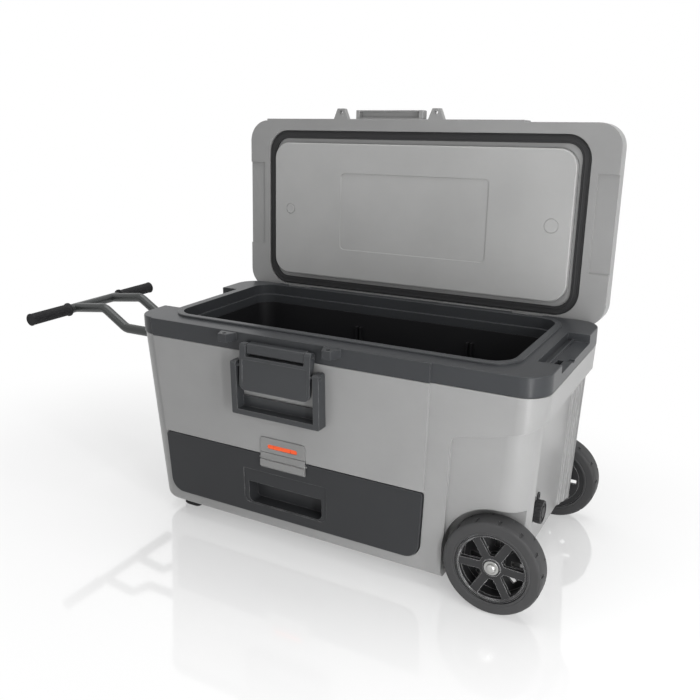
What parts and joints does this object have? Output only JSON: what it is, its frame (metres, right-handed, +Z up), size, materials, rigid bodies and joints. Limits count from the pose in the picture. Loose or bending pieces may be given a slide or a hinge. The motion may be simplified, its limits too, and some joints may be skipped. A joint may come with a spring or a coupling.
{
  "type": "wheeled cooler",
  "caption": "Hard-sided wheeled cooler box with a hinged insulated lid, draw latch, front dry-storage drawer, drain and a folding pull handle, shown open.",
  "frame": {"origin": "centre of the whole object's footprint on the ground, with the lid open and the handle out", "axes": "+X along the body towards the wheels, -Y to the front with latch and drawer, +Z up"},
  "size_m": [1.2334, 0.5135, 0.8436],
  "materials": {
    "light_grey_plastic": "satin light grey moulded plastic",
    "dark_grey_plastic": "satin dark grey moulded plastic",
    "drawer_grey_plastic": "fine textured charcoal plastic",
    "liner_plastic": "satin near-black plastic",
    "tyre_rubber": "matte dark grey rubber",
    "wheel_plastic": "satin black plastic",
    "soft_rubber": "matte black rubber",
    "painted_tube": "satin dark grey powder coat on aluminium tube",
    "zinc_steel": "bright zinc-plated steel",
    "orange_plastic": "bright orange plastic"
  },
  "bodies": {
    "cooler": {"body_shell": "light_grey_plastic", "top_collar": "dark_grey_plastic", "inner_liner": "liner_plastic", "drawer_housing": "liner_plastic", "drawer_rail_left": "zinc_steel", "drawer_rail_right": "zinc_steel", "drawer_lock_plate": "light_grey_plastic", "indicator_strip": "orange_plastic", "latch_base": "dark_grey_plastic", "latch_pivot_pin": "zinc_steel", "wheel_axle": "zinc_steel", "drain_spout": "dark_grey_plastic", "hinge_base_left": "dark_grey_plastic", "hinge_base_right": "dark_grey_plastic", "hinge_pin_left": "zinc_steel", "hinge_pin_right": "zinc_steel", "handle_bracket_front": "dark_grey_plastic", "handle_pin_front": "zinc_steel", "foot_front": "soft_rubber", "axle_clamp_front": "dark_grey_plastic", "wheel_washer_front": "zinc_steel", "handle_bracket_rear": "dark_grey_plastic", "handle_pin_rear": "zinc_steel", "foot_rear": "soft_rubber", "axle_clamp_rear": "dark_grey_plastic", "wheel_washer_rear": "zinc_steel"},
    "lid": {"lid_shell": "light_grey_plastic", "lid_liner": "light_grey_plastic", "lid_gasket": "soft_rubber", "lid_plug_small": "light_grey_plastic", "lid_plug_large": "light_grey_plastic", "hinge_leaf_left": "dark_grey_plastic", "hinge_leaf_right": "dark_grey_plastic"},
    "handle": {"handle_frame": "painted_tube", "grip_front": "soft_rubber", "grip_rear": "soft_rubber"},
    "drawer": {"drawer_front": "drawer_grey_plastic", "drawer_tray": "liner_plastic", "drawer_runner_left": "zinc_steel", "drawer_runner_right": "zinc_steel"},
    "paddle": {"drawer_paddle": "light_grey_plastic"},
    "latch_flap": {"latch_flap": "dark_grey_plastic"},
    "latch_frame": {"latch_frame": "dark_grey_plastic"},
    "front_wheel": {"wheel_front": "wheel_plastic", "tyre_front": "tyre_rubber", "wheel_bush_front": "zinc_steel"},
    "rear_wheel": {"wheel_rear": "wheel_plastic", "tyre_rear": "tyre_rubber", "wheel_bush_rear": "zinc_steel"},
    "drain_ring": {"drain_ring": "soft_rubber"},
    "drain_cap": {"drain_cap": "soft_rubber"}
  },
  "joints": [
    {"name": "lid_hinge", "type": "hinge", "parent": "cooler", "child": "lid", "pos_m": [0.1633, 0.16777, 0.4215], "axis": [1, 0, 0], "range_deg": [0, 93]},
    {"name": "handle_pivot", "type": "hinge", "parent": "cooler", "child": "handle", "pos_m": [-0.2847, -0.02923, 0.3502], "axis": [0, -1, 0], "range_deg": [0, 90]},
    {"name": "drawer_slide", "type": "slide", "parent": "cooler", "child": "drawer", "axis": [0, -1, 0], "range_m": [0, 0.26]},
    {"name": "paddle_lift", "type": "hinge", "parent": "drawer", "child": "paddle", "pos_m": [0.0958, -0.23323, 0.1865], "axis": [1, 0, 0], "range_deg": [-15, 0], "stiffness_Nm_per_rad": 0.05},
    {"name": "latch_flap_lift", "type": "hinge", "parent": "cooler", "child": "latch_flap", "pos_m": [0.0958, -0.24373, 0.4136], "axis": [1, 0, 0], "range_deg": [-75, 0]},
    {"name": "latch_frame_swing", "type": "hinge", "parent": "latch_flap", "child": "latch_frame", "pos_m": [0.0958, -0.25123, 0.378], "axis": [-1, 0, 0], "range_deg": [0, 178]},
    {"name": "front_wheel_spin", "type": "hinge", "parent": "cooler", "child": "front_wheel", "pos_m": [0.5277, -0.24873, 0.089], "axis": [0, 1, 0], "continuous": true},
    {"name": "rear_wheel_spin", "type": "hinge", "parent": "cooler", "child": "rear_wheel", "pos_m": [0.5277, 0.19027, 0.089], "axis": [0, 1, 0], "continuous": true},
    {"name": "drain_ring_slide", "type": "slide", "parent": "cooler", "child": "drain_ring", "axis": [1, 0, 0], "range_m": [0, 0.015]},
    {"name": "drain_cap_turn", "type": "hinge", "parent": "drain_ring", "child": "drain_cap", "pos_m": [0.55745, -0.11623, 0.148], "axis": [1, 0, 0], "range_deg": [0, 720]}
  ],
  "couplings": [
    {"joint": "drain_ring_slide", "follows": "drain_cap_turn", "m_per_rad": 0.0011929}
  ]
}
